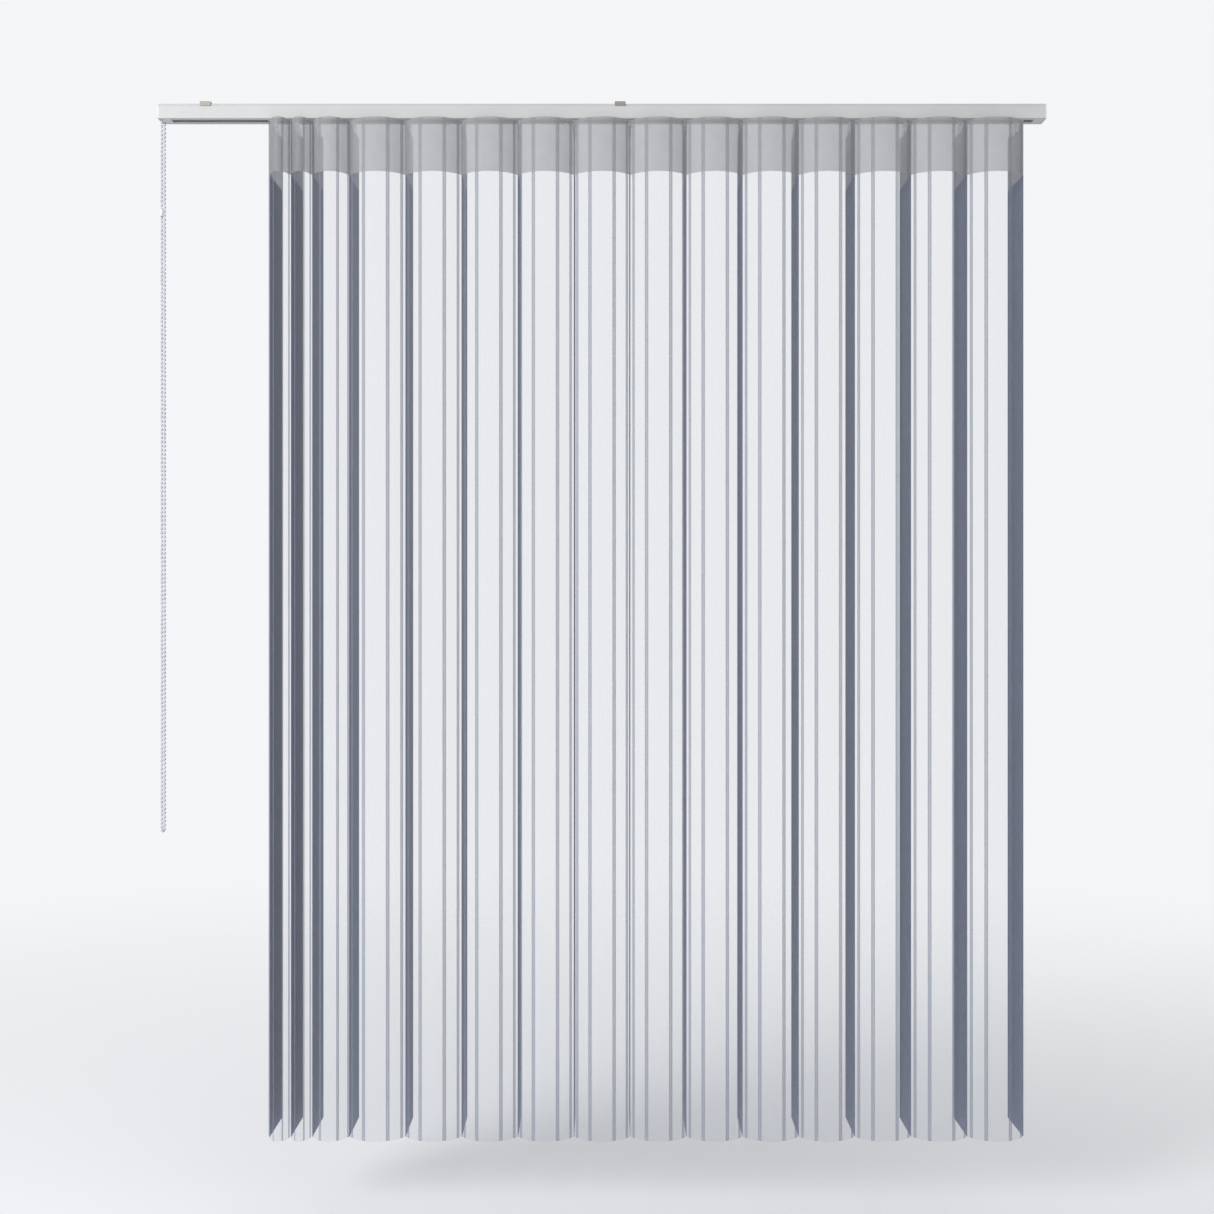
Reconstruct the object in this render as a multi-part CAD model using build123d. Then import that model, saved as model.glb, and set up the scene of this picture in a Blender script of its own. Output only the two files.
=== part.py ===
from build123d import *
import math
import os

# Ceiling-fixed vertical blind: flat opaque vanes hang square to the window from a
# slim headrail, and a sheer panel bows forward between each two neighbouring vanes.
# Millimetres. The origin is the centre of the middle bracket's top face, against the
# ceiling. +Z is up, the room is at -Y and the window at +Y.

# --- driving dimensions -------------------------------------------------------
RAIL_LENGTH = 1280.0        # aluminium profile, without the end flanges
RAIL_CENTRE_X = -26.3       # the rail's middle, measured from the middle bracket
RAIL_DEPTH = 30.0
RAIL_HEIGHT = 21.4
RAIL_WALL = 1.2
RAIL_CORNER = 1.2
RAIL_DROP = 3.0             # ceiling to the rail's top
SLOT_WIDTH = 12.0           # underside slot that the hangers pass through
GROOVE_DROP = 2.0           # rail top to the upper edge of the bracket grooves
GROOVE_HEIGHT = 1.2
GROOVE_DEPTH = 0.6

FLANGE = 1.5                # end flange of the control housing and of the end cap
HOUSING_LENGTH = 15.8       # control housing inside the rail
CAP_LENGTH = 14.8           # end cap inside the rail
FIT_GAP = 0.3               # clearance of plugged and of moving parts

BRACKET_WIDTH = 15.5
BRACKET_THICK = 1.2
BRACKET_SPACING = 598.7     # left bracket to middle bracket
SCREW_HOLE_R = 2.25
SCREW_BACK = 7.0            # screw hole behind the bracket's centre
RELEASE_TAB = 4.0           # rear tongue that is pressed to free the rail

ROD_R = 2.5
ROD_GROOVES = 4
ROD_AXIS_DROP = 11.5        # rail top to the tilt rod's axis
BEAD_PITCH = 6.0
BEAD_COUNT = 8              # beads round the sprocket
CHAIN_R = 2.25
SPROCKET_WIDTH = 4.2
CHAIN_INSET = 2.7           # rail's left end to the chain's plane
CHAIN_BOTTOM = -1055.0      # lowest point of the chain's path
CONNECTOR_Z = -159.0
CONNECTOR_LENGTH = 10.0
CONNECTOR_R = 2.95

VANE_COUNT = 16
PITCH = 80.0                # spacing of the vanes where they are drawn out
FIXED_STEM_X = 573.9        # last vane, whose carrier is fixed at the stack end
BUNCHED_GAPS = (52.7, 30.3, 30.4)   # gaps 4-3, 3-2 and 2-1 of the part-drawn edge
VANE_WIDTH = 89.0
VANE_THICK = 0.6
FABRIC_TOP = -37.1
HEADER_HEIGHT = 77.2        # translucent stiffened band along the top
FABRIC_DROP = 1447.0
BULGE = 21.5                # how far a sheer panel bows in front of the vanes
SHEER_THICK = 0.5
SEAM_GAP = 0.6              # sheer to the vane edge, and to the vane's middle plane
HEM_WIDTH = 2.4             # leading edge hem

TRUCK_LENGTH = 24.0
TRUCK_HALF_WIDTH = 9.3
TRUCK_HEADROOM = 2.3        # rail's inner top to the truck
TRUCK_SOLE = 0.6            # truck to the rail's inner floor
WHEEL_R = 4.0
WHEEL_WIDTH = 3.2
AXLE_R = 1.4
STRIP_WIDTH = 4.0           # steel spacer strip from each carrier to the next
STRIP_THICK = 0.5
STRIP_REACH = 84.0
STRIP_LEVELS = 3            # stacked strips pass each other on three levels
STRIP_STEP = 1.2
TAB_HALF_WIDTH = 4.0
TAB_HALF_LENGTH = 3.0

STEM_R = 2.3
STEM_HEAD_R = 4.0
STEM_HEAD_THICK = 1.5
STEM_HEAD_DROP = 1.3        # tilt rod's underside to the stem head
HANGER_THICK = 3.2
HANGER_LENGTH = 40.0
HANGER_GRIP = 6.0           # how far the hanger's jaws reach over the cloth
HANGER_BACK = 4.0           # solid back of the hanger above the cloth
JAW_GAP = 1.2

# --- places that follow -------------------------------------------------------
RAIL_TOP = -RAIL_DROP
RAIL_BOTTOM = RAIL_TOP - RAIL_HEIGHT
RAIL_LEFT = RAIL_CENTRE_X - RAIL_LENGTH / 2
RAIL_RIGHT = RAIL_CENTRE_X + RAIL_LENGTH / 2
INNER_HALF = RAIL_DEPTH / 2 - RAIL_WALL
INNER_TOP = RAIL_TOP - RAIL_WALL
INNER_FLOOR = RAIL_BOTTOM + RAIL_WALL
GROOVE_TOP = RAIL_TOP - GROOVE_DROP
ROD_Z = RAIL_TOP - ROD_AXIS_DROP
CHAIN_X = RAIL_LEFT + CHAIN_INSET
PITCH_R = BEAD_PITCH * BEAD_COUNT / (2 * math.pi)
HEADER_BOTTOM = FABRIC_TOP - HEADER_HEIGHT
FABRIC_BOTTOM = FABRIC_TOP - FABRIC_DROP
VANE_EDGE_Y = -VANE_WIDTH / 2
SEAM_Y = VANE_EDGE_Y - SEAM_GAP
TRUCK_TOP = INNER_TOP - TRUCK_HEADROOM
TRUCK_BOTTOM = INNER_FLOOR + TRUCK_SOLE
HEAD_TOP = ROD_Z - ROD_R - STEM_HEAD_DROP
HEAD_BOTTOM = HEAD_TOP - STEM_HEAD_THICK
HANGER_TOP = FABRIC_TOP + FIT_GAP + HANGER_BACK
STRIP_FLOOR = ROD_Z + ROD_R + FIT_GAP + 1.0


def stem_places():
    """Stem positions from the leading vane, number 1, to the fixed one."""
    places = [FIXED_STEM_X - PITCH * step for step in range(VANE_COUNT - len(BUNCHED_GAPS))]
    for gap in BUNCHED_GAPS:
        places.append(places[-1] - gap)
    return places[::-1]


STEMS = stem_places()


# --- helpers ------------------------------------------------------------------
def block(x, y, z):
    """A box from its (low, high) limits along each axis."""
    centre = Pos((x[0] + x[1]) / 2, (y[0] + y[1]) / 2, (z[0] + z[1]) / 2)
    return centre * Box(x[1] - x[0], y[1] - y[0], z[1] - z[0])


def along_x(section, start, end):
    """Extrudes a section drawn in (y, z) from x = start to x = end."""
    return extrude(Plane.YZ.offset(start) * section, amount=end - start)


def upright(section, low, high):
    """Extrudes a plan section from z = low up to z = high."""
    return extrude(Pos(0, 0, low) * section, amount=high - low)


def save(name, *pieces):
    """Writes one node, whose pieces stay separate solids."""
    solids = [solid for piece in pieces for solid in piece.solids()]
    export_step(Compound(solids), f"parts/{name}.step")


# --- headrail -----------------------------------------------------------------
def rail_outline():
    middle = Pos(0, (RAIL_TOP + RAIL_BOTTOM) / 2)
    return middle * RectangleRounded(RAIL_DEPTH, RAIL_HEIGHT, RAIL_CORNER)


def rail():
    """Open-bottomed box profile, with its floor lips cut away where the ends plug in.

    It comes as five flush strips, a roof, two walls and two floor lips, each of them convex.
    """
    bar = along_x(rail_outline(), RAIL_LEFT, RAIL_RIGHT)
    whole = (RAIL_LEFT, RAIL_RIGHT)
    bar -= block(whole, (-INNER_HALF, INNER_HALF), (INNER_FLOOR, INNER_TOP))
    below = (RAIL_BOTTOM - 1, INNER_FLOOR + 0.01)
    bar -= block(whole, (-SLOT_WIDTH / 2, SLOT_WIDTH / 2), below)
    bar -= block((RAIL_LEFT, RAIL_LEFT + HOUSING_LENGTH + FIT_GAP), (-INNER_HALF, INNER_HALF), below)
    bar -= block((RAIL_RIGHT - CAP_LENGTH - FIT_GAP, RAIL_RIGHT), (-INNER_HALF, INNER_HALF), below)
    face = RAIL_DEPTH / 2
    for side in (-1, 1):
        depth = sorted((side * (face - GROOVE_DEPTH), side * (face + 1)))
        bar -= block(whole, depth, (GROOVE_TOP - GROOVE_HEIGHT, GROOVE_TOP))
    strips = [bar & block(whole, (-face, face), (INNER_TOP, RAIL_TOP))]
    for side in (-1, 1):
        half = sorted((0, side * face))
        strips.append(bar & block(whole, half, (INNER_FLOOR, INNER_TOP)))
        strips.append(bar & block(whole, half, (RAIL_BOTTOM, INNER_FLOOR)))
    return strips


def end_plug(flange_outer, flange_inner, tip):
    """Flange over the rail's end, and a block that plugs into the rail."""
    flange = along_x(rail_outline(), *sorted((flange_outer, flange_inner)))
    half = INNER_HALF - FIT_GAP
    plug = block(sorted((flange_inner, tip)), (-half, half), (RAIL_BOTTOM, INNER_TOP - FIT_GAP))
    return flange + plug


def control_housing():
    """Holds the chain sprocket in an open-topped pocket, with two chain holes below."""
    tip = RAIL_LEFT + HOUSING_LENGTH
    body = end_plug(RAIL_LEFT - FLANGE, RAIL_LEFT, tip)
    pocket_x = (CHAIN_X - SPROCKET_WIDTH / 2 - FIT_GAP, CHAIN_X + SPROCKET_WIDTH / 2 + 2.5)
    pocket_half = PITCH_R + CHAIN_R + 1.0
    body -= block(pocket_x, (-pocket_half, pocket_half), (INNER_FLOOR, INNER_TOP))
    body -= along_x(Pos(0, ROD_Z) * Circle(ROD_R + FIT_GAP), CHAIN_X, tip)
    for side in (-1, 1):
        hole = Pos(CHAIN_X, side * PITCH_R) * Circle(CHAIN_R + 0.45)
        body -= upright(hole, RAIL_BOTTOM - 1, INNER_FLOOR + 1)
    return body


def end_cap():
    """Closes the rail's far end and carries the tilt rod in a blind bearing."""
    tip = RAIL_RIGHT - CAP_LENGTH
    body = end_plug(RAIL_RIGHT + FLANGE, RAIL_RIGHT, tip)
    for side in (-1, 1):
        sides = sorted((side * (ROD_R + 3.0), side * (INNER_HALF - FIT_GAP - 1.6)))
        body -= block((tip, RAIL_RIGHT - 1.6), sides, (INNER_FLOOR + 0.8, INNER_TOP - 2.0))
    body -= along_x(Pos(0, ROD_Z) * Circle(ROD_R + FIT_GAP), tip, RAIL_RIGHT - 2.5)
    return body


def bracket(x):
    """Spring-steel clip: a top plate whose two turned-in lips hold the rail's grooves."""
    width = (x - BRACKET_WIDTH / 2, x + BRACKET_WIDTH / 2)
    inner = RAIL_DEPTH / 2 + 0.2
    outer = inner + BRACKET_THICK
    toe_top = GROOVE_TOP - 0.1
    toe_bottom = toe_top - GROOVE_HEIGHT + 0.3
    clip = block(width, (-outer, outer), (-BRACKET_THICK, 0))
    for side in (-1, 1):
        clip += block(width, sorted((side * inner, side * outer)), (toe_bottom, 0))
        reach = side * (RAIL_DEPTH / 2 - GROOVE_DEPTH + 0.15)
        clip += block(width, sorted((reach, side * inner)), (toe_bottom, toe_top))
    tab = (x - BRACKET_WIDTH / 3, x + BRACKET_WIDTH / 3)
    clip += block(tab, (outer - 0.1, outer + RELEASE_TAB), (toe_bottom, toe_bottom + BRACKET_THICK))
    corners = clip.edges().filter_by(Axis.X).group_by(Axis.Z)[-1]
    clip = fillet(corners, 0.8)
    clip -= upright(Pos(x, SCREW_BACK) * Circle(SCREW_HOLE_R), -BRACKET_THICK - 1, 1)
    return clip


# --- drive and chain ----------------------------------------------------------
def sprocket():
    """Chain wheel whose rim has one round seat for each bead."""
    left = CHAIN_X - SPROCKET_WIDTH / 2
    right = CHAIN_X + SPROCKET_WIDTH / 2
    wheel = along_x(Pos(0, ROD_Z) * Circle(PITCH_R - 0.4), left, right)
    wheel += along_x(Pos(0, ROD_Z) * Circle(ROD_R + 2.0), right, right + 2.0)
    for step in range(BEAD_COUNT):
        turn = 2 * math.pi * (step + 0.5) / BEAD_COUNT
        seat = Pos(CHAIN_X, PITCH_R * math.cos(turn), ROD_Z + PITCH_R * math.sin(turn))
        wheel -= seat * Sphere(CHAIN_R + 0.2)
    wheel -= along_x(Pos(0, ROD_Z) * Circle(ROD_R + 0.05), left - 1, right + 3)
    return wheel


def tilt_rod():
    """Round rod with drive grooves, from the sprocket to the end cap's bearing."""
    section = Circle(ROD_R)
    for step in range(ROD_GROOVES):
        section -= Rot(0, 0, 360 / ROD_GROOVES * step) * (Pos(ROD_R, 0) * Rectangle(1.2, 1.0))
    start = CHAIN_X - SPROCKET_WIDTH / 2
    return along_x(Pos(0, ROD_Z) * section, start, RAIL_RIGHT - 2.5 - 1.0)


def bead_chain():
    """Plain tube along the endless chain: down the front strand and up the rear one."""
    top = INNER_FLOOR + 1.0
    route = [
        (CHAIN_X, -PITCH_R, top),
        (CHAIN_X, -PITCH_R, CHAIN_BOTTOM),
        (CHAIN_X, PITCH_R, CHAIN_BOTTOM),
        (CHAIN_X, PITCH_R, top),
    ]
    radius = 0.45 * 2 * PITCH_R
    path = FilletPolyline(*route, radius=radius)
    print("bead_chain length", round(path.length, 1), "bend radius", round(radius, 2))
    return sweep(Plane(origin=path @ 0, z_dir=path % 0) * Circle(CHAIN_R), path=path)


def chain_connector():
    """Small snap sleeve that joins the chain's two ends on the front strand."""
    sleeve = Pos(CHAIN_X, -PITCH_R, CONNECTOR_Z) * Cylinder(CONNECTOR_R, CONNECTOR_LENGTH)
    sleeve = fillet(sleeve.edges().filter_by(GeomType.CIRCLE), 0.5)
    return sleeve - Pos(CHAIN_X, -PITCH_R, CONNECTOR_Z) * Cylinder(CHAIN_R + 0.05, CONNECTOR_LENGTH + 1)


# --- carriers -----------------------------------------------------------------
def strip_level(number):
    """Height of the underside of this carrier's spacer strip."""
    return STRIP_FLOOR + 0.3 + STRIP_STEP * (number % STRIP_LEVELS)


def truck(number, x):
    """Moulded carrier: rod bore, stem bore with its head pocket, and strip channel."""
    length = (x - TRUCK_LENGTH / 2, x + TRUCK_LENGTH / 2)
    body = block(length, (-TRUCK_HALF_WIDTH, TRUCK_HALF_WIDTH), (TRUCK_BOTTOM, TRUCK_TOP))
    body = chamfer(body.edges().filter_by(Axis.X).group_by(Axis.Z)[-1], 2.0)
    for side in (-1, 1):
        stub = Plane.XZ * (Pos(x, INNER_FLOOR + FIT_GAP + WHEEL_R) * Circle(AXLE_R))
        start = side * (TRUCK_HALF_WIDTH - 1.0)
        end = side * (TRUCK_HALF_WIDTH + FIT_GAP + WHEEL_WIDTH)
        low, high = sorted((start, end))
        body += Pos(0, high, 0) * extrude(stub, amount=high - low)
    channel = STRIP_WIDTH / 2 + 0.5
    body -= block(length, (-channel, channel), (STRIP_FLOOR, TRUCK_TOP + 1))
    if number > 1:
        seat_x = (x - TAB_HALF_LENGTH - 0.3, x + TAB_HALF_LENGTH + 0.3)
        seat_y = (-TAB_HALF_WIDTH - 0.3, TAB_HALF_WIDTH + 0.3)
        body -= block(seat_x, seat_y, (strip_level(number), TRUCK_TOP + 1))
    body -= along_x(Pos(0, ROD_Z) * Circle(ROD_R + FIT_GAP), length[0] - 1, length[1] + 1)
    pocket = Pos(x, 0) * Circle(STEM_HEAD_R + FIT_GAP)
    body -= upright(pocket, HEAD_BOTTOM - FIT_GAP, HEAD_TOP + FIT_GAP)
    body -= upright(Pos(x, 0) * Circle(STEM_R + FIT_GAP), TRUCK_BOTTOM - 1, HEAD_TOP)
    return body


def wheels(x):
    """Two plain rollers on the truck's stub axles, over the rail's floor lips."""
    rollers = []
    for side in (-1, 1):
        ring = Plane.XZ * (Pos(x, INNER_FLOOR + FIT_GAP + WHEEL_R) * (Circle(WHEEL_R) - Circle(AXLE_R + 0.1)))
        inner = side * (TRUCK_HALF_WIDTH + FIT_GAP)
        outer = inner + side * WHEEL_WIDTH
        rollers.append(Pos(0, max(inner, outer), 0) * extrude(ring, amount=WHEEL_WIDTH))
    return rollers


def spacer_strip(number, x):
    """Steel strip seated by its tab, running through the next carrier to the left."""
    low = strip_level(number)
    height = (low, low + STRIP_THICK)
    half = STRIP_WIDTH / 2
    strip = block((x - STRIP_REACH, x + TAB_HALF_LENGTH), (-half, half), height)
    tab = (-TAB_HALF_WIDTH, TAB_HALF_WIDTH)
    return strip + block((x - TAB_HALF_LENGTH, x + TAB_HALF_LENGTH), tab, height)


# --- hanging fabric -----------------------------------------------------------
def hanger(x):
    """Turning stem with its head in the truck, and a long clip that grips the vane."""
    stem = upright(Pos(x, 0) * Circle(STEM_R), HANGER_TOP - 1, HEAD_BOTTOM + 0.01)
    stem += upright(Pos(x, 0) * Circle(STEM_HEAD_R), HEAD_BOTTOM, HEAD_TOP)
    half = HANGER_THICK / 2
    jaw_bottom = FABRIC_TOP - HANGER_GRIP
    clip = block((x - half, x + half), (-HANGER_LENGTH / 2, HANGER_LENGTH / 2), (jaw_bottom, HANGER_TOP))
    clip = fillet(clip.edges().filter_by(Axis.Z), half * 0.8)
    gap = (x - JAW_GAP / 2, x + JAW_GAP / 2)
    clip -= block(gap, (-HANGER_LENGTH, HANGER_LENGTH), (jaw_bottom - 1, FABRIC_TOP + FIT_GAP))
    return stem + clip


def vane(x):
    """Flat vane with round edges: the translucent header over the opaque cloth."""
    plan = Pos(x, 0) * SlotOverall(VANE_WIDTH, VANE_THICK, rotation=90)
    header = upright(plan, HEADER_BOTTOM, FABRIC_TOP)
    return header, upright(plan, FABRIC_BOTTOM, HEADER_BOTTOM)


def bow(middle, half, front):
    """Curve from the seam line to the front and back, on straight sides where it is narrow."""
    left, right = middle - half, middle + half
    if SEAM_Y - front < half:
        return ThreePointArc((left, SEAM_Y), (middle, front), (right, SEAM_Y))
    turn = front + half
    sides = Line((left, SEAM_Y), (left, turn)) + Line((right, turn), (right, SEAM_Y))
    return sides + ThreePointArc((left, turn), (middle, front), (right, turn))


def bowed_plan(left, right):
    """Plan of a sheer panel that bows forward between two vanes."""
    half = (right - left) / 2 - SEAM_GAP
    middle = (left + right) / 2
    front = SEAM_Y - BULGE
    inner_half = half - SHEER_THICK
    if BULGE < half:
        radius = (half * half + BULGE * BULGE) / (2 * BULGE)
        inner_half = math.sqrt((radius - SHEER_THICK) ** 2 - (radius - BULGE) ** 2)
    outline = bow(middle, half, front) + bow(middle, inner_half, front + SHEER_THICK)
    for side in (-1, 1):
        outline += Line((middle + side * half, SEAM_Y), (middle + side * inner_half, SEAM_Y))
    return make_face(outline)


def sheer_panel(left, right):
    """Sheer panel between two vanes: its header band over the striped veil."""
    plan = bowed_plan(left, right)
    return upright(plan, HEADER_BOTTOM, FABRIC_TOP), upright(plan, FABRIC_BOTTOM, HEADER_BOTTOM)


def leading_hem():
    """Narrow folded hem down the free edge, in front of the leading vane."""
    outer = STEMS[0] - SEAM_GAP + 0.2
    front = SEAM_Y - SHEER_THICK
    return block((outer - HEM_WIDTH, outer), (front, SEAM_Y), (FABRIC_BOTTOM, FABRIC_TOP))


# --- the pieces ---------------------------------------------------------------
save("rail", *rail())
save("control_housing", control_housing())
save("end_cap", end_cap())
save("bracket_left", bracket(-BRACKET_SPACING))
save("bracket_middle", bracket(0.0))
save("sprocket", sprocket())
save("tilt_rod", tilt_rod())
save("bead_chain", bead_chain())
save("chain_connector", chain_connector())

for number, x in enumerate(STEMS, start=1):
    strips = [spacer_strip(number, x)] if number > 1 else []
    save(f"carrier_{number:02d}", truck(number, x), *wheels(x), *strips)
    save(f"louvre_{number:02d}", hanger(x), *vane(x))

for number, (left, right) in enumerate(zip(STEMS, STEMS[1:]), start=1):
    save(f"sheer_{number:02d}", *sheer_panel(left, right))
save("leading_hem", leading_hem())
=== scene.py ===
import math

import bmesh
import bpy
from mathutils import Matrix, Vector


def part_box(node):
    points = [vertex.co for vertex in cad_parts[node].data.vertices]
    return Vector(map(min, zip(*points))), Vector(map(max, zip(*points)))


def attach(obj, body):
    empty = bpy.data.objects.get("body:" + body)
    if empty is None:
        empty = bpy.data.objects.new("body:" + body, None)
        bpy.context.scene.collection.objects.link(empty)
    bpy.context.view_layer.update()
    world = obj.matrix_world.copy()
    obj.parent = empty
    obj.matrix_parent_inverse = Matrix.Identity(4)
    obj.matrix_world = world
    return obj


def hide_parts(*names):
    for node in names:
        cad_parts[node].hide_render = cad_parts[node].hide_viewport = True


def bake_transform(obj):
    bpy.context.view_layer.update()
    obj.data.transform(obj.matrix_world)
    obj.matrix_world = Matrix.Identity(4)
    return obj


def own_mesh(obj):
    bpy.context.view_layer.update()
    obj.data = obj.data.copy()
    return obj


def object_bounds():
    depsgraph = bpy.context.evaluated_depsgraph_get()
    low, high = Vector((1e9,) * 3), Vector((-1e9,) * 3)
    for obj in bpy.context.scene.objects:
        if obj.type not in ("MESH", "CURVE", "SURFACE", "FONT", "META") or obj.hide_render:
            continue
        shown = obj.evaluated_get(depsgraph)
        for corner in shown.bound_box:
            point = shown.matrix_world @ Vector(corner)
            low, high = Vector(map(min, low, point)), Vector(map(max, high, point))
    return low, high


# Looks of a sheer-and-opaque vertical blind. Metres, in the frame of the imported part.

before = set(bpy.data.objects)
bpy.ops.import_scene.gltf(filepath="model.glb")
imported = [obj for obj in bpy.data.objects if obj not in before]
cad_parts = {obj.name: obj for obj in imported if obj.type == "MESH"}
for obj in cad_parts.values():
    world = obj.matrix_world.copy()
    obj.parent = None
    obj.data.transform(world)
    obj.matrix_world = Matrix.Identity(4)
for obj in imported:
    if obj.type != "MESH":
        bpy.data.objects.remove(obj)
cad_low, cad_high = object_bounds()

# --- sizes that the frame doesn't give ----------------------------------------
HEADER_HEIGHT = 0.0772      # stiffened translucent band along the top
STRIPE_PLACES = (0.0175, 0.0400)    # woven stripes, from the middle of a panel's cloth
STRIPE_WIDTH = 0.0053
STRIPE_CROWD = {3: 0.89}    # a half-bunched panel shows its stripes further apart
STRIPE_EDGE = 0.0015        # dense yarns down each side of a stripe
SEAM_SLIT = 0.0003          # a panel's edge to the middle plane of its vane
HEM_WIDTH = 0.0009
BAND_FRONT = 0.0003         # the sheer's header band lies over its cloth, on the room side
ARC_STEPS = 28
ROWS = 14
BAND_ROWS = 2
CLIP_ABOVE = 0.0043         # a hanger's clip, from the top edge of the fabric
CLIP_BELOW = 0.006
CLIP_HALF_LENGTH = 0.02
CLIP_HALF_THICK = 0.0016
CLIP_CORNER = 0.0012
STEM_RADIUS = 0.0023
HEAD_RADIUS, HEAD_THICK = 0.0040, 0.0015
COLLAR_RADIUS, COLLAR_THICK = 0.0032, 0.0016
BEAD_PITCH = 0.006
BEAD_RADIUS = 0.00225
THREAD_RADIUS = 0.0007

VANES = range(1, 17)
PANELS = range(1, 16)
BUNCHED_PANELS = 3          # panels 1 to 3 are bunched; their pieces stay where they are built, hung on no body


def vane_plane(number):
    """Middle plane, front edge and thickness of one vane."""
    low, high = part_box(f"louvre_{number:02d}")
    return (low.x + high.x) / 2, low.y, high.y


fabric_low, fabric_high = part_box("leading_hem")
FABRIC_BOTTOM, FABRIC_TOP = fabric_low.z, fabric_high.z
HEADER_BOTTOM = FABRIC_TOP - HEADER_HEIGHT
STEM_X = {n: vane_plane(n)[0] for n in VANES}
VANE_FRONT = vane_plane(1)[1]
VANE_BACK = vane_plane(1)[2]
VANE_THICK = 0.0006
PITCH = STEM_X[16] - STEM_X[15]
SHEER_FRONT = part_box("sheer_15")[0].y
BULGE = VANE_FRONT - SHEER_FRONT - 0.0002


# --- small tools ---------------------------------------------------------------
def new_piece(name, mesh, material, smooth=True):
    """Turns a finished bmesh into an object with its material."""
    data = bpy.data.meshes.new(name)
    mesh.to_mesh(data)
    mesh.free()
    for polygon in data.polygons:
        polygon.use_smooth = smooth
    data.materials.append(material)
    piece = bpy.data.objects.new(name, data)
    bpy.context.scene.collection.objects.link(piece)
    return piece


def slab(mesh, low, high):
    """Adds a box between two corners and returns its vertices."""
    low, high = Vector(low), Vector(high)
    place = Matrix.Translation((low + high) / 2) @ Matrix.Diagonal((*(high - low), 1))
    return bmesh.ops.create_cube(mesh, size=1, matrix=place)["verts"]


def edges_along(verts, axis):
    """Edges between these vertices that run along one axis."""
    found = {edge for vert in verts for edge in vert.link_edges}
    return [
        edge for edge in found
        if abs((edge.verts[0].co - edge.verts[1].co).normalized()[axis]) > 0.999
    ]


def rounded(mesh, verts, axis, width, segments=3):
    """Rounds a box's edges that run along one axis."""
    bmesh.ops.bevel(
        mesh, geom=edges_along(verts, axis), offset=width, offset_type="OFFSET",
        affect="EDGES", segments=segments, profile=0.5, material=-1,
    )


# --- materials -----------------------------------------------------------------
def start_material(name):
    material = bpy.data.materials.new(name)
    material.use_nodes = True
    tree = material.node_tree
    return material, tree, tree.nodes["Principled BSDF"]


def node(tree, kind, inputs=None, **settings):
    """Adds one node. Inputs are values, or sockets to link from."""
    made = tree.nodes.new("ShaderNode" + kind)
    for key, value in settings.items():
        setattr(made, key, value)
    for key, value in (inputs or {}).items():
        if isinstance(value, bpy.types.NodeSocket):
            tree.links.new(value, made.inputs[key])
        else:
            made.inputs[key].default_value = value
    return made


def place_on(tree, source, scale):
    """Coordinates of one source, scaled along each axis."""
    coordinates = node(tree, "TexCoord")
    mapping = node(tree, "Mapping", {"Vector": coordinates.outputs[source], "Scale": scale})
    return mapping.outputs[0]


def noise(tree, vector, scale, detail=2.0):
    return node(tree, "TexNoise", {"Vector": vector, "Scale": scale, "Detail": detail}).outputs[0]


def spread(tree, value, low, high):
    """Maps a texture's 0.25 to 0.75 onto low to high."""
    inputs = {"Value": value, "From Min": 0.25, "From Max": 0.75, "To Min": low, "To Max": high}
    return node(tree, "MapRange", inputs).outputs[0]


def tinted(tree, value, dark, light):
    """A colour between dark and light by a texture's value."""
    ramp = node(tree, "ValToRGB", {"Fac": value})
    ramp.color_ramp.elements[0].position = 0.3
    ramp.color_ramp.elements[0].color = (*dark, 1)
    ramp.color_ramp.elements[1].position = 0.7
    ramp.color_ramp.elements[1].color = (*light, 1)
    return ramp.outputs[0]


def multiply(tree, a, b):
    return node(tree, "Math", {0: a, 1: b}, operation="MULTIPLY").outputs[0]


def coloured(tree, shader, value, dark, light):
    """Gives a shader the colours between dark and light."""
    tree.links.new(tinted(tree, value, dark, light), shader.inputs["Base Color"])


def roughened(tree, shader, value, low, high):
    tree.links.new(spread(tree, value, low, high), shader.inputs["Roughness"])


def bumped(tree, shader, height, distance, strength=0.5):
    bump = node(tree, "Bump", {"Height": height, "Distance": distance, "Strength": strength})
    tree.links.new(bump.outputs[0], shader.inputs["Normal"])


def painted_aluminium():
    """Satin white paint over an extruded profile, with faint drawn lines along it."""
    material, tree, shader = start_material("painted_aluminium")
    lines = noise(tree, place_on(tree, "Object", (3, 900, 900)), 1.0, 3)
    cloud = noise(tree, place_on(tree, "Object", (9, 9, 9)), 1.0, 3)
    coloured(tree, shader, cloud, (0.585, 0.585, 0.585), (0.635, 0.635, 0.635))
    roughened(tree, shader, lines, 0.34, 0.46)
    bumped(tree, shader, lines, 0.00004, 0.35)
    return material


def moulded_plastic(name, dark, light, roughness):
    """Injection-moulded plastic with a fine spark texture."""
    material, tree, shader = start_material(name)
    grain = noise(tree, place_on(tree, "Object", (1, 1, 1)), 2400, 2)
    cloud = noise(tree, place_on(tree, "Object", (1, 1, 1)), 60, 2)
    coloured(tree, shader, cloud, dark, light)
    roughened(tree, shader, grain, roughness - 0.05, roughness + 0.08)
    bumped(tree, shader, grain, 0.00003, 0.3)
    return material


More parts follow.
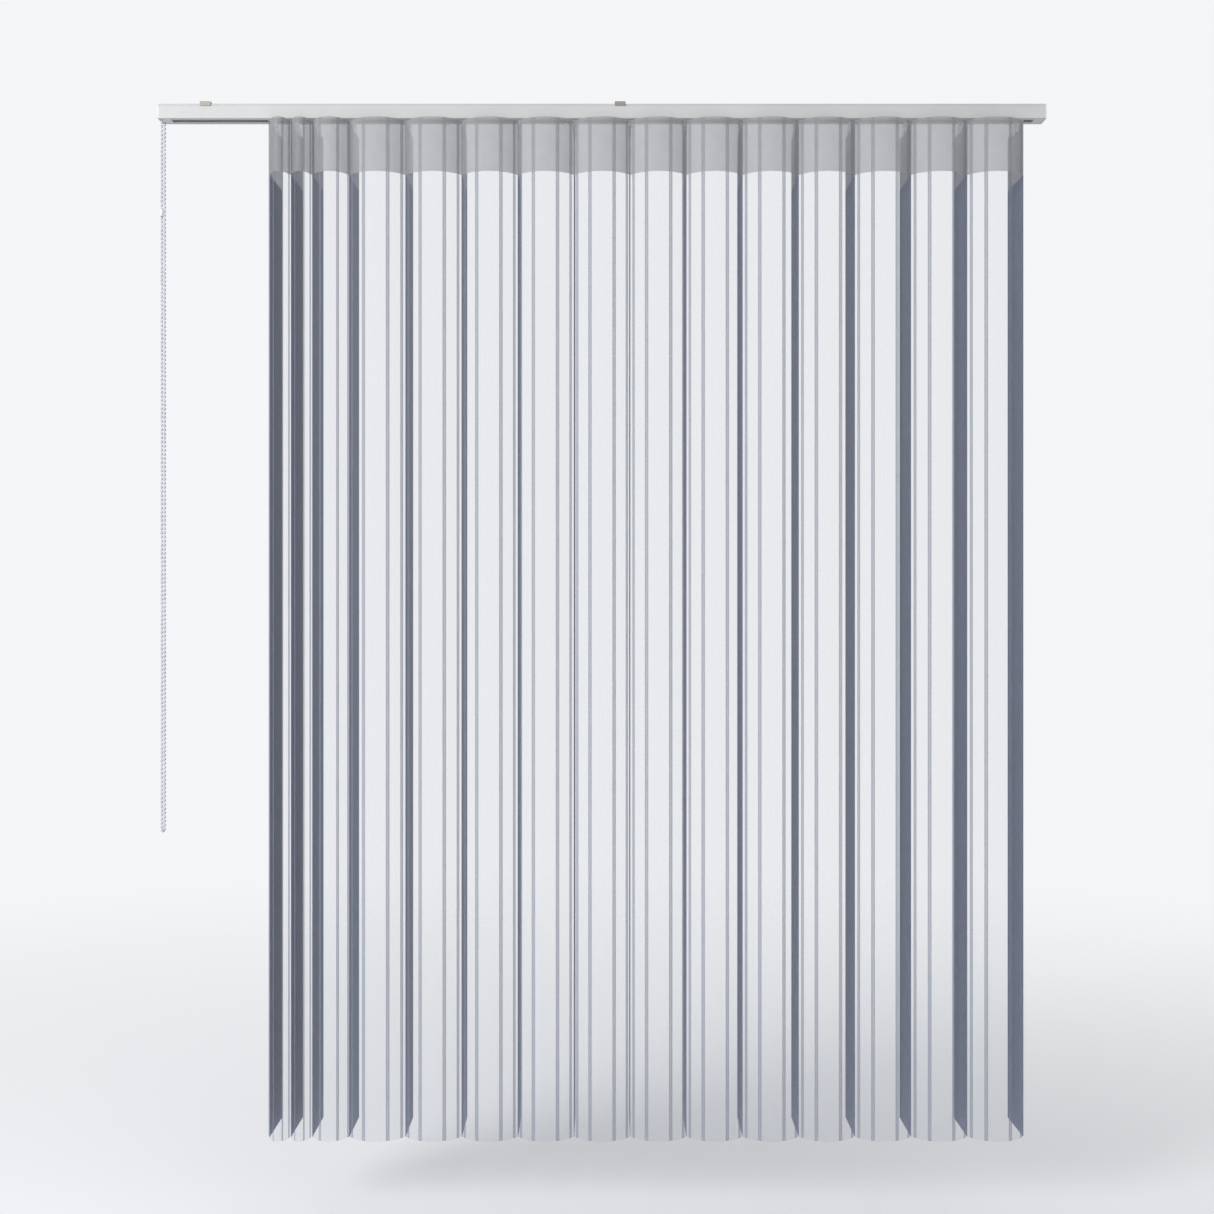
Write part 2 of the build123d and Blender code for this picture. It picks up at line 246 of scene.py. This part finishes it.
def spring_steel():
    """Zinc-plated strip with a rolled grain and slightly dulled patches."""
    material, tree, shader = start_material("spring_steel")
    rolled = noise(tree, place_on(tree, "Object", (60, 1500, 1500)), 1.0, 3)
    cloud = noise(tree, place_on(tree, "Object", (1, 1, 1)), 240, 3)
    coloured(tree, shader, cloud, (0.33, 0.32, 0.29), (0.42, 0.41, 0.37))
    shader.inputs["Metallic"].default_value = 0.85
    roughened(tree, shader, rolled, 0.45, 0.62)
    bumped(tree, shader, rolled, 0.00003, 0.4)
    return material


def drawn_aluminium():
    """Bare grooved rod with drawn lines along it."""
    material, tree, shader = start_material("drawn_aluminium")
    lines = noise(tree, place_on(tree, "Object", (8, 2200, 2200)), 1.0, 3)
    coloured(tree, shader, lines, (0.55, 0.55, 0.57), (0.72, 0.72, 0.74))
    shader.inputs["Metallic"].default_value = 1.0
    roughened(tree, shader, lines, 0.25, 0.42)
    bumped(tree, shader, lines, 0.00003, 0.4)
    return material


def weave(tree, vector, across, along):
    """Height of a plain weave of crossing yarns, 0 to 1."""
    yarns = {"Vector": vector, "Distortion": 0.6}
    warp = node(tree, "TexWave", {**yarns, "Scale": across}, bands_direction="X").outputs[1]
    weft = node(tree, "TexWave", {**yarns, "Scale": along}, bands_direction="Y").outputs[1]
    return node(tree, "Math", {0: warp, 1: weft}, operation="MAXIMUM").outputs[0]


def vane_cloth():
    """Close opaque blue-grey weave with uneven yarns down its length."""
    material, tree, shader = start_material("vane_cloth")
    slub = noise(tree, place_on(tree, "UV", (1400, 12, 1)), 1.0, 4)
    grain = noise(tree, place_on(tree, "UV", (1, 1, 1)), 1500, 2)
    cloud = noise(tree, place_on(tree, "UV", (1, 1, 1)), 25, 2)
    mixed = node(tree, "Mix", {0: 0.4, 2: slub, 3: grain}).outputs[0]
    mixed = node(tree, "Mix", {0: 0.25, 2: mixed, 3: cloud}).outputs[0]
    coloured(tree, shader, mixed, (0.094, 0.114, 0.187), (0.145, 0.173, 0.269))
    shader.inputs["Roughness"].default_value = 0.85
    shader.inputs["Sheen Weight"].default_value = 0.25
    shader.inputs["Sheen Roughness"].default_value = 0.5
    bumped(tree, shader, weave(tree, place_on(tree, "UV", (1, 1, 1)), 320, 260), 0.00015, 0.6)
    return material


def sheer_shader(tree, shader, colour, opacity, through):
    """Yarn that scatters light both ways, with open mesh between its threads."""
    behind = node(tree, "BsdfTranslucent", {"Color": colour})
    yarn = node(tree, "MixShader", {0: through, 1: shader.outputs[0], 2: behind.outputs[0]})
    mesh = node(tree, "BsdfTransparent")
    both = node(tree, "MixShader", {0: opacity, 1: mesh.outputs[0], 2: yarn.outputs[0]})
    tree.links.new(both.outputs[0], tree.nodes["Material Output"].inputs["Surface"])


def stripe_ramp(tree, half_cloth, open_mesh, edge, middle):
    """Opacity across a panel's cloth, from its middle outwards."""
    across = node(tree, "SeparateXYZ", {0: node(tree, "TexCoord").outputs["UV"]}).outputs[0]
    outwards = node(tree, "Math", {0: across}, operation="ABSOLUTE").outputs[0]
    share = multiply(tree, outwards, 1 / half_cloth)
    ramp = node(tree, "ValToRGB", {"Fac": share})
    soft = 0.00025
    half, inner = STRIPE_WIDTH / 2, STRIPE_WIDTH / 2 - STRIPE_EDGE
    stops = [(0.0, open_mesh)]
    for place in STRIPE_PLACES:
        for offset, before, after in (
            (-half, open_mesh, edge), (-inner, edge, middle),
            (inner, middle, edge), (half, edge, open_mesh),
        ):
            stops.append((place + offset - soft, before))
            stops.append((place + offset + soft, after))
    elements = ramp.color_ramp.elements
    elements[1].position = 1.0
    for index, (place, value) in enumerate(stops):
        stop = elements[0] if index == 0 else elements.new(place / half_cloth)
        stop.color = (value, value, value, 1)
    elements[-1].color = (open_mesh, open_mesh, open_mesh, 1)
    return ramp.outputs[0]


def voile(name, half_cloth, open_mesh, edge, middle):
    """Sheer cloth whose woven stripes are denser than its open mesh."""
    material, tree, shader = start_material(name)
    density = stripe_ramp(tree, half_cloth, open_mesh, edge, middle)
    slub = noise(tree, place_on(tree, "UV", (1600, 30, 1)), 1.0, 3)
    speckle = noise(tree, place_on(tree, "UV", (1, 1, 1)), 480, 3)
    density = multiply(tree, density, spread(tree, slub, 0.82, 1.18))
    density = multiply(tree, density, spread(tree, speckle, 0.80, 1.20))
    colour = tinted(tree, slub, (0.235, 0.272, 0.35), (0.315, 0.36, 0.45))
    tree.links.new(colour, shader.inputs["Base Color"])
    shader.inputs["Roughness"].default_value = 0.7
    shader.inputs["Sheen Weight"].default_value = 0.1
    sheer_shader(tree, shader, colour, density, 0.5)
    return material


def header_band(name, opacity, dark, light):
    """Stiffened grey-white translucent tape along the top of the fabric."""
    material, tree, shader = start_material(name)
    grain = noise(tree, place_on(tree, "UV", (1, 1, 1)), 1300, 3)
    cloud = noise(tree, place_on(tree, "UV", (1, 1, 1)), 40, 2)
    mixed = node(tree, "Mix", {0: 0.4, 2: grain, 3: cloud}).outputs[0]
    colour = tinted(tree, mixed, (dark, dark, dark * 1.03), (light, light, light * 1.03))
    tree.links.new(colour, shader.inputs["Base Color"])
    shader.inputs["Roughness"].default_value = 0.75
    sheer_shader(tree, shader, colour, spread(tree, grain, opacity - 0.05, opacity + 0.05), 0.45)
    bumped(tree, shader, grain, 0.00005, 0.4)
    return material


# --- sheer panels ----------------------------------------------------------------
PANEL_HALF = PITCH / 2 - SEAM_SLIT
ARC_RADIUS = (PANEL_HALF ** 2 + BULGE ** 2) / (2 * BULGE)
ARC_HALF_ANGLE = math.asin(PANEL_HALF / ARC_RADIUS)
HALF_CLOTH = ARC_RADIUS * ARC_HALF_ANGLE
SEAM_Y = VANE_FRONT - 0.0002


def bowed_sheet(name, left, right, low, high, rows, forward, material, crowd=1.0):
    """A sheet bowed forward between two vanes: an arc drawn up through its rows.

    A bunched panel is the same arc, narrower. The UV map holds metres of cloth.
    """
    centre = Vector((0, SEAM_Y - BULGE + ARC_RADIUS, low))
    radius = ARC_RADIUS + forward
    mesh = bmesh.new()
    start = centre + radius * Vector((-math.sin(ARC_HALF_ANGLE), -math.cos(ARC_HALF_ANGLE), 0))
    first = mesh.verts.new(start)
    bmesh.ops.spin(
        mesh, geom=[first], cent=centre, axis=(0, 0, 1),
        angle=2 * ARC_HALF_ANGLE, steps=ARC_STEPS, use_merge=False,
    )
    edges = list(mesh.edges)
    for _ in range(rows):
        made = bmesh.ops.extrude_edge_only(mesh, edges=edges)["geom"]
        edges = [item for item in made if isinstance(item, bmesh.types.BMEdge)]
        raised = [item for item in made if isinstance(item, bmesh.types.BMVert)]
        bmesh.ops.translate(mesh, verts=raised, vec=(0, 0, (high - low) / rows))
    cloth = mesh.loops.layers.uv.new("cloth")
    for face in mesh.faces:
        for loop in face.loops:
            spot = loop.vert.co
            loop[cloth].uv = (crowd * ARC_RADIUS * math.atan2(spot.x, centre.y - spot.y), spot.z)
    share = (right - left - 2 * SEAM_SLIT) / (2 * PANEL_HALF)
    bmesh.ops.scale(mesh, verts=mesh.verts, vec=(share, 1, 1))
    bmesh.ops.translate(mesh, verts=mesh.verts, vec=((left + right) / 2, 0, 0))
    bmesh.ops.recalc_face_normals(mesh, faces=mesh.faces)
    return new_piece(name, mesh, material)


def arc_length(left, right):
    """Width of a panel's cloth along its bow."""
    share = (right - left - 2 * SEAM_SLIT) / (2 * PANEL_HALF)
    steps = 200
    total, last = 0.0, None
    for step in range(steps + 1):
        angle = ARC_HALF_ANGLE * (2 * step / steps - 1)
        spot = Vector((share * ARC_RADIUS * math.sin(angle), ARC_RADIUS * math.cos(angle)))
        total += (spot - last).length if last else 0.0
        last = spot
    return total


def follow_panel(piece, number):
    """Hangs a panel's piece on its panel's body; a bunched panel's piece stays where it is built."""
    if number > BUNCHED_PANELS:
        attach(piece, f"sheer_{number:02d}")
        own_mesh(piece)
        return
    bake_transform(piece)


def make_panels():
    veil = voile("sheer_voile", HALF_CLOTH, 0.14, 0.73, 0.61)
    band_finish = header_band("sheer_header", 0.73, 0.43, 0.51)
    for number in PANELS:
        left, right = STEM_X[number], STEM_X[number + 1]
        crowd = STRIPE_CROWD.get(number, 1.0)
        sheet = bowed_sheet(
            f"veil_{number:02d}", left, right, FABRIC_BOTTOM, FABRIC_TOP, ROWS, 0.0, veil, crowd,
        )
        band = bowed_sheet(
            f"veil_band_{number:02d}", left, right, HEADER_BOTTOM, FABRIC_TOP, BAND_ROWS,
            BAND_FRONT, band_finish,
        )
        for piece in (sheet, band):
            follow_panel(piece, number)
        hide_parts(f"sheer_{number:02d}")
        flat = (arc_length(left, right), FABRIC_TOP - FABRIC_BOTTOM)


def make_leading_hem(material):
    """Narrow folded hem down the free edge of the fabric."""
    low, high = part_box("leading_hem")
    low.x = high.x - HEM_WIDTH
    mesh = bmesh.new()
    verts = slab(mesh, low, high)
    rounded(mesh, verts, 2, (high.y - low.y) * 0.4)
    piece = new_piece("free_edge_hem", mesh, material)
    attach(piece, "leading_hem")
    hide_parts("leading_hem")


# --- vanes -------------------------------------------------------------------------
def flat_cloth(name, number, low, high, material):
    """A flat vane cloth with rounded edges, and a UV map in metres of cloth."""
    x = STEM_X[number]
    mesh = bmesh.new()
    half = VANE_THICK / 2
    verts = slab(mesh, (x - half, VANE_FRONT, low), (x + half, VANE_BACK, high))
    rounded(mesh, verts, 2, half * 0.9)
    cloth = mesh.loops.layers.uv.new("cloth")
    for face in mesh.faces:
        for loop in face.loops:
            loop[cloth].uv = (loop.vert.co.y, loop.vert.co.z)
    return new_piece(name, mesh, material, smooth=False)


def make_hanger(number, material):
    """Stem with its head and collar, over a short clip that grips the header."""
    x = STEM_X[number]
    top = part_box(f"louvre_{number:02d}")[1].z
    mesh = bmesh.new()
    clip_top, clip_bottom = FABRIC_TOP + CLIP_ABOVE, FABRIC_TOP - CLIP_BELOW
    clip_low = (x - CLIP_HALF_THICK, -CLIP_HALF_LENGTH, clip_bottom)
    clip_high = (x + CLIP_HALF_THICK, CLIP_HALF_LENGTH, clip_top)
    verts = slab(mesh, clip_low, clip_high)
    rounded(mesh, verts, 2, CLIP_CORNER)
    for radius, low, high in (
        (STEM_RADIUS, clip_top - 0.001, top - 0.001),
        (HEAD_RADIUS, top - HEAD_THICK, top),
        (COLLAR_RADIUS, clip_top - 0.0005, clip_top + COLLAR_THICK),
    ):
        place = Matrix.Translation((x, 0, (low + high) / 2))
        bmesh.ops.create_cone(
            mesh, cap_ends=True, segments=24, radius1=radius, radius2=radius,
            depth=high - low, matrix=place,
        )
    piece = new_piece(f"hanger_{number:02d}", mesh, material, smooth=False)
    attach(piece, f"louvre_{number:02d}")
    return piece


def make_vanes(hanger_finish):
    cloth = vane_cloth()
    header = header_band("vane_header", 0.74, 0.50, 0.58)
    for number in VANES:
        body = f"louvre_{number:02d}"
        vane = flat_cloth(f"vane_{number:02d}", number, FABRIC_BOTTOM, HEADER_BOTTOM, cloth)
        top = flat_cloth(f"vane_header_{number:02d}", number, HEADER_BOTTOM, FABRIC_TOP, header)
        hanger = make_hanger(number, hanger_finish)
        for piece in (vane, top):
            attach(piece, body)
        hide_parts(body)


# --- bead chain -----------------------------------------------------------------------
def chain_line(route):
    """Reads points along the chain's smooth line."""
    curve = bpy.data.curves.new("chain_line", "CURVE")
    curve.dimensions = "3D"
    curve.resolution_u = 24
    spline = curve.splines.new("NURBS")
    spline.points.add(len(route) - 1)
    for point, spot in zip(spline.points, route):
        point.co = (*spot, 1)
    spline.order_u = 3
    spline.use_endpoint_u = True
    holder = bpy.data.objects.new("chain_line", curve)
    bpy.context.scene.collection.objects.link(holder)
    bpy.context.view_layer.update()
    line = bpy.data.meshes.new_from_object(holder)
    points = [vertex.co.copy() for vertex in line.vertices]
    bpy.data.objects.remove(holder)
    bpy.data.meshes.remove(line)
    return points


def spaced(points, step):
    """Points a step apart along a line."""
    made, carry = [points[0].copy()], step
    for start, end in zip(points, points[1:]):
        run = (end - start).length
        at = carry
        while at <= run:
            made.append(start.lerp(end, at / run))
            at += step
        carry = at - run
    return made


def make_chain():
    """Endless bead chain: round beads on a thread, hanging in one long loop."""
    low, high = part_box("bead_chain")
    x = (low.x + high.x) / 2
    front, rear = low.y + BEAD_RADIUS, high.y - BEAD_RADIUS
    bottom = low.z + BEAD_RADIUS
    turn = rear - front
    route = [
        (x, front, high.z), (x, front, bottom + turn), (x, front, bottom),
        (x, rear, bottom), (x, rear, bottom + turn), (x, rear, high.z),
    ]
    path = chain_line(route)
    mesh = bmesh.new()
    for spot in spaced(path, BEAD_PITCH):
        bmesh.ops.create_uvsphere(
            mesh, u_segments=10, v_segments=7, radius=BEAD_RADIUS,
            matrix=Matrix.Translation(spot),
        )
    threads = spaced(path, BEAD_PITCH / 2)
    for start, end in zip(threads, threads[1:]):
        along = (end - start).normalized().to_track_quat("Z", "Y").to_matrix().to_4x4()
        bmesh.ops.create_cone(
            mesh, cap_ends=False, segments=6, radius1=THREAD_RADIUS, radius2=THREAD_RADIUS,
            depth=(end - start).length, matrix=Matrix.Translation((start + end) / 2) @ along,
        )
    finish = moulded_plastic("bead_plastic", (0.54, 0.56, 0.60), (0.64, 0.66, 0.70), 0.22)
    chain = new_piece("bead_string", mesh, finish)
    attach(chain, "headrail")
    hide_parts("bead_chain")


# --- CAD pieces that stay ----------------------------------------------------------------
def finish_frame():
    white = moulded_plastic("white_moulding", (0.72, 0.72, 0.71), (0.80, 0.80, 0.79), 0.42)
    sleeve = moulded_plastic("connector_plastic", (0.76, 0.77, 0.78), (0.82, 0.82, 0.83), 0.3)
    finishes = {
        "rail": painted_aluminium(),
        "control_housing": white,
        "end_cap": white,
        "bracket_left": spring_steel(),
        "sprocket": white,
        "tilt_rod": drawn_aluminium(),
        "chain_connector": sleeve,
    }
    finishes["bracket_middle"] = finishes["bracket_left"]
    for number in VANES:
        finishes[f"carrier_{number:02d}"] = white
    for name, material in finishes.items():
        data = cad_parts[name].data
        data.materials.clear()
        data.materials.append(material)
    return white


# --- camera, light and floor -----------------------------------------------------------------
CAMERA_LENS = 48.1
CAMERA_STAND_OFF = 2.311    # from the vanes' front edges
CAMERA_RIGHT = 0.0072       # of the rail's middle
CAMERA_RAISE = 0.0310       # above the middle of the fabric
FLOOR_DROP = 0.12
FLOOR_RADIUS = 3.4
LIGHTS = (
    # name, place and target from the middle of the blind, size, power
    ("key", (-2.6, -2.4, 1.0), (0, 0, 0), 1.8, 80),
    ("fill", (0.2, -2.5, -0.2), (0, 0, 0.6), 1.0, 11),
    ("back", (0.4, 2.6, 1.4), (0, 0, 0), 2.6, 20),
)


def make_camera():
    rail_low, rail_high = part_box("rail")
    data = bpy.data.cameras.new("camera")
    data.lens = CAMERA_LENS
    camera = bpy.data.objects.new("camera", data)
    camera.location = (
        (rail_low.x + rail_high.x) / 2 + CAMERA_RIGHT,
        VANE_FRONT - CAMERA_STAND_OFF,
        (FABRIC_TOP + FABRIC_BOTTOM) / 2 + CAMERA_RAISE,
    )
    camera.rotation_euler = (math.pi / 2, 0, 0)
    bpy.context.scene.collection.objects.link(camera)
    bpy.context.scene.camera = camera


def area_light(name, place, target, size, energy):
    data = bpy.data.lights.new(name, "AREA")
    data.shape = "DISK"
    data.size = size
    data.energy = energy
    light = bpy.data.objects.new(name, data)
    light.location = place
    light.rotation_euler = (Vector(target) - Vector(place)).to_track_quat("-Z", "Y").to_euler()
    light.visible_camera = False
    bpy.context.scene.collection.objects.link(light)


def sky(tree, above, below):
    """Light that comes mostly from above, with a soft change at eye level."""
    height = node(tree, "SeparateXYZ", {0: node(tree, "TexCoord").outputs["Generated"]}).outputs[2]
    inputs = {"Value": height, "From Min": -0.35, "From Max": 0.35, "To Min": below, "To Max": above}
    level = node(tree, "MapRange", inputs)
    return node(tree, "Background", {0: (0.98, 0.99, 1.0, 1), 1: level.outputs[0]}).outputs[0]


def make_floor(middle):
    """Pale disc under the blind that fades out before its rim."""
    material, tree, shader = start_material("pale_floor")
    shader.inputs["Base Color"].default_value = (0.87, 0.88, 0.90, 1)
    shader.inputs["Roughness"].default_value = 0.9
    mesh = bmesh.new()
    place = Matrix.Translation((middle.x, middle.y, cad_low.z - FLOOR_DROP))
    bmesh.ops.create_circle(mesh, cap_ends=True, segments=96, radius=FLOOR_RADIUS, matrix=place)
    spot = node(tree, "TexCoord").outputs["Object"]
    centred = node(tree, "VectorMath", {0: spot, 1: place.translation}, operation="SUBTRACT")
    distance = node(tree, "VectorMath", {0: centred.outputs[0]}, operation="LENGTH").outputs["Value"]
    rim = FLOOR_RADIUS * 0.97
    inputs = {"Value": distance, "From Min": 0.2, "From Max": rim, "To Min": 1.0, "To Max": 0.0}
    fade = node(tree, "MapRange", inputs, interpolation_type="SMOOTHSTEP")
    tree.links.new(fade.outputs[0], shader.inputs["Alpha"])
    new_piece("floor", mesh, material)


def make_studio():
    """Even pale surroundings, large soft lights, mostly from the left, and a pale floor."""
    scene = bpy.context.scene
    scene.view_settings.view_transform = "Standard"
    world = bpy.data.worlds.new("studio")
    scene.world = world
    world.use_nodes = True
    tree = world.node_tree
    seen = tree.nodes["Background"]
    seen.inputs[0].default_value = (0.905, 0.917, 0.939, 1)
    camera_ray = node(tree, "LightPath").outputs["Is Camera Ray"]
    both = node(tree, "MixShader", {0: camera_ray, 1: sky(tree, 0.62, 0.36), 2: seen.outputs[0]})
    tree.links.new(both.outputs[0], tree.nodes["World Output"].inputs[0])
    middle = (cad_low + cad_high) / 2
    for name, place, target, size, energy in LIGHTS:
        area_light(name, middle + Vector(place), middle + Vector(target), size, energy)
    make_floor(middle)


make_camera()
make_studio()
white_finish = finish_frame()
make_chain()
make_vanes(white_finish)
make_panels()
make_leading_hem(vane_cloth())
